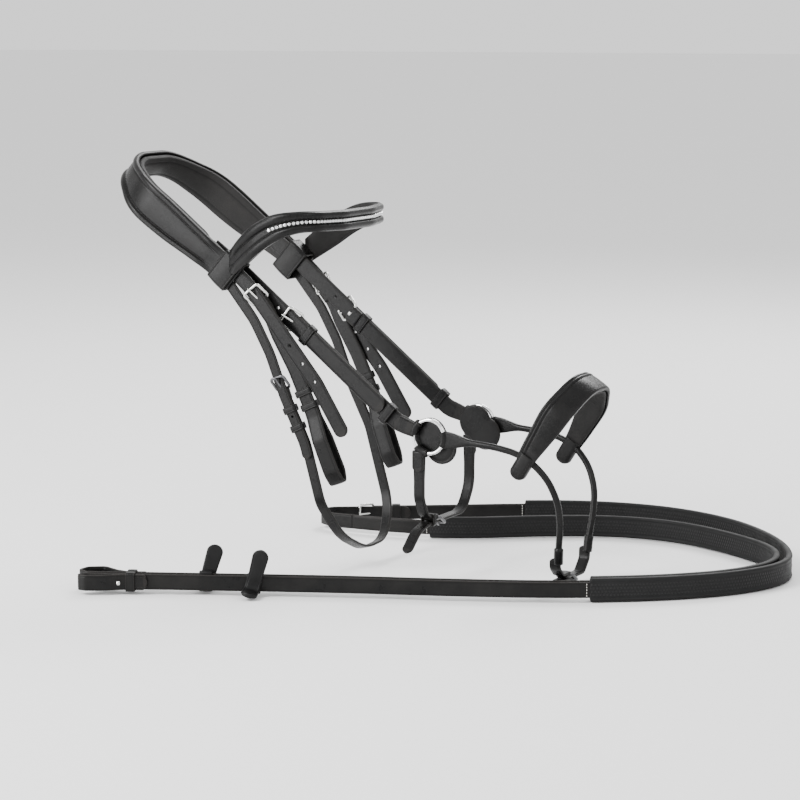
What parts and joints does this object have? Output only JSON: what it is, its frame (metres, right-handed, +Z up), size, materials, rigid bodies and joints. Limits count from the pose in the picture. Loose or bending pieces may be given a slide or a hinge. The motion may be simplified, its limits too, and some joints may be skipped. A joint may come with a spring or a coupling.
{
  "type": "snaffle bridle",
  "caption": "Horse bridle without a bit: padded crown, curved browband, buckled cheekpieces, ring noseband with rolled straps, throatlash and rubber-grip reins.",
  "frame": {"origin": "underside of the crown pad, in the middle over the poll, where the bridle hangs on the horse", "axes": "+X forward towards the nose, +Y towards the horse's left, +Z up"},
  "size_m": [0.6974, 0.605, 0.4248],
  "materials": {
    "bright_hardware": "bright nickel plate",
    "dark_hardware": "dark plated steel",
    "ring_chrome": "polished",
    "crystals": "faceted clear stone",
    "grip_rubber": "dimpled matte rubber",
    "stop_rubber": "smooth rubber",
    "rolled_leather": "smooth rolled",
    "padded_leather": "soft matte lining",
    "rein_leather": "smooth semi-gloss",
    "strap_leather": "smooth semi-gloss with edge creases"
  },
  "bodies": {
    "headstall": {"cheek_buckles": "bright_hardware", "cheek_hook_studs": "bright_hardware", "cheek_point_far": "strap_leather", "cheek_point_near": "strap_leather", "cheekpiece_far": "strap_leather", "cheekpiece_near": "strap_leather", "crown_leather": "strap_leather", "crown_padding": "padded_leather", "fixed_keepers": "strap_leather", "noseband_buckles": "bright_hardware", "noseband_point_far": "strap_leather", "noseband_point_near": "strap_leather", "noseband_strap_far": "strap_leather", "noseband_strap_near": "strap_leather", "ring_safes": "strap_leather", "throat_buckle": "dark_hardware", "throat_point": "strap_leather", "throatlash": "strap_leather"},
    "browband": {"browband_leather": "strap_leather", "browband_loops": "strap_leather", "browband_padding": "padded_leather", "crystal_row": "crystals"},
    "cheek_runner_far_body": {"cheek_runner_far": "strap_leather"},
    "cheek_runner_near_body": {"cheek_runner_near": "strap_leather"},
    "cheek_tongue_far_body": {"cheek_tongue_far": "bright_hardware"},
    "cheek_tongue_near_body": {"cheek_tongue_near": "bright_hardware"},
    "front_noseband": {"chin_buckle": "dark_hardware", "chin_strap_far": "strap_leather", "chin_strap_near": "strap_leather", "nosepiece_leather": "strap_leather", "nosepiece_loops": "strap_leather", "nosepiece_padding": "padded_leather", "rolled_strap_far": "rolled_leather", "rolled_strap_near": "rolled_leather"},
    "chin_tongue_body": {"chin_tongue": "dark_hardware"},
    "jaw_strap": {"jaw_buckle": "dark_hardware", "jaw_keeper": "strap_leather", "jaw_strap_far": "strap_leather", "jaw_strap_near": "strap_leather"},
    "jaw_tongue_body": {"jaw_tongue": "dark_hardware"},
    "noseband_collar_far_body": {"noseband_collar_far": "strap_leather"},
    "noseband_collar_near_body": {"noseband_collar_near": "strap_leather"},
    "noseband_ring_far_body": {"noseband_ring_far": "ring_chrome"},
    "noseband_ring_near_body": {"noseband_ring_near": "ring_chrome"},
    "noseband_tongue_far_body": {"noseband_tongue_far": "bright_hardware"},
    "noseband_tongue_near_body": {"noseband_tongue_near": "bright_hardware"},
    "reins": {"rein_billets": "rein_leather", "rein_buckle": "bright_hardware", "rein_far": "rein_leather", "rein_grip_far": "grip_rubber", "rein_grip_near": "grip_rubber", "rein_hook_studs": "bright_hardware", "rein_keepers": "rein_leather", "rein_near": "rein_leather", "rein_point": "rein_leather"},
    "rein_stop_far_body": {"rein_stop_far": "stop_rubber"},
    "rein_stop_near_body": {"rein_stop_near": "stop_rubber"},
    "rein_tongue_body": {"rein_tongue": "bright_hardware"},
    "throat_runner_body": {"throat_runner": "strap_leather"},
    "throat_tongue_body": {"throat_tongue": "dark_hardware"}
  },
  "joints": [
    {"name": "cheek_tongue_near_lift", "type": "hinge", "parent": "headstall", "child": "cheek_tongue_near_body", "pos_m": [0.1675, -0.0672, -0.129], "axis": [0.784, 0, 0.6207], "range_deg": [0, 12]},
    {"name": "cheek_tongue_far_lift", "type": "hinge", "parent": "headstall", "child": "cheek_tongue_far_body", "pos_m": [0.1675, 0.0672, -0.129], "axis": [-0.784, 0, -0.6207], "range_deg": [0, 12]},
    {"name": "noseband_tongue_near_lift", "type": "hinge", "parent": "headstall", "child": "noseband_tongue_near_body", "pos_m": [0.20405, -0.057, -0.15186], "axis": [0.6308, 0, 0.776], "range_deg": [0, 12]},
    {"name": "noseband_tongue_far_lift", "type": "hinge", "parent": "headstall", "child": "noseband_tongue_far_body", "pos_m": [0.20405, 0.057, -0.15186], "axis": [-0.6308, 0, -0.776], "range_deg": [0, 12]},
    {"name": "throat_tongue_lift", "type": "hinge", "parent": "headstall", "child": "throat_tongue_body", "pos_m": [0.19305, -0.0672, -0.21837], "axis": [0.9328, 0, 0.3604], "range_deg": [0, 12]},
    {"name": "jaw_tongue_lift", "type": "hinge", "parent": "jaw_strap", "child": "jaw_tongue_body", "pos_m": [0.3435, -0.027, -0.345], "axis": [-1, 0, 0], "range_deg": [0, 12]},
    {"name": "chin_tongue_lift", "type": "hinge", "parent": "front_noseband", "child": "chin_tongue_body", "pos_m": [0.484, -0.012, -0.394], "axis": [-1, 0, 0], "range_deg": [0, 12]},
    {"name": "rein_tongue_lift", "type": "hinge", "parent": "reins", "child": "rein_tongue_body", "pos_m": [0.14985, 0.21226, -0.396], "axis": [0, 0, 1], "range_deg": [0, 12]},
    {"name": "browband_slide", "type": "slide", "parent": "headstall", "child": "browband", "axis": [-0.7507, 0, 0.6607], "range_m": [-0.004, 0.0025]},
    {"name": "cheek_runner_near_slide", "type": "slide", "parent": "headstall", "child": "cheek_runner_near_body", "axis": [0.4138, 0, -0.9104], "range_m": [0, 0.004]},
    {"name": "noseband_collar_near_slide", "type": "slide", "parent": "headstall", "child": "noseband_collar_near_body", "axis": [0.776, 0, -0.6308], "range_m": [-0.006, 0.002]},
    {"name": "cheek_runner_far_slide", "type": "slide", "parent": "headstall", "child": "cheek_runner_far_body", "axis": [0.4138, 0, -0.9104], "range_m": [0, 0.004]},
    {"name": "noseband_collar_far_slide", "type": "slide", "parent": "headstall", "child": "noseband_collar_far_body", "axis": [0.776, 0, -0.6308], "range_m": [-0.006, 0.002]},
    {"name": "throat_runner_slide", "type": "slide", "parent": "headstall", "child": "throat_runner_body", "axis": [0.4396, 0, -0.8982], "range_m": [-0.008, 0.006]},
    {"name": "noseband_ring_near_spin", "type": "hinge", "parent": "headstall", "child": "noseband_ring_near_body", "pos_m": [0.354, -0.0582, -0.258], "axis": [0, 1, 0], "continuous": true},
    {"name": "noseband_ring_far_spin", "type": "hinge", "parent": "headstall", "child": "noseband_ring_far_body", "pos_m": [0.354, 0.0582, -0.258], "axis": [0, 1, 0], "continuous": true},
    {"name": "front_noseband_swing", "type": "hinge", "parent": "headstall", "child": "front_noseband", "pos_m": [0.354, 0, -0.258], "axis": [0, 1, 0], "range_deg": [-8, 8]},
    {"name": "jaw_strap_swing", "type": "hinge", "parent": "headstall", "child": "jaw_strap", "pos_m": [0.354, 0, -0.258], "axis": [0, 1, 0], "range_deg": [-15, 15]},
    {"name": "reins_pull", "type": "slide", "parent": "headstall", "child": "reins", "axis": [1, 0, 0], "range_m": [0, 0.06]},
    {"name": "rein_stop_near_slide", "type": "slide", "parent": "reins", "child": "rein_stop_near_body", "axis": [0.9246, 0.381, 0], "range_m": [-0.012, 0.012]},
    {"name": "rein_stop_far_slide", "type": "slide", "parent": "reins", "child": "rein_stop_far_body", "axis": [0.9246, 0.381, 0], "range_m": [-0.012, 0.012]}
  ]
}
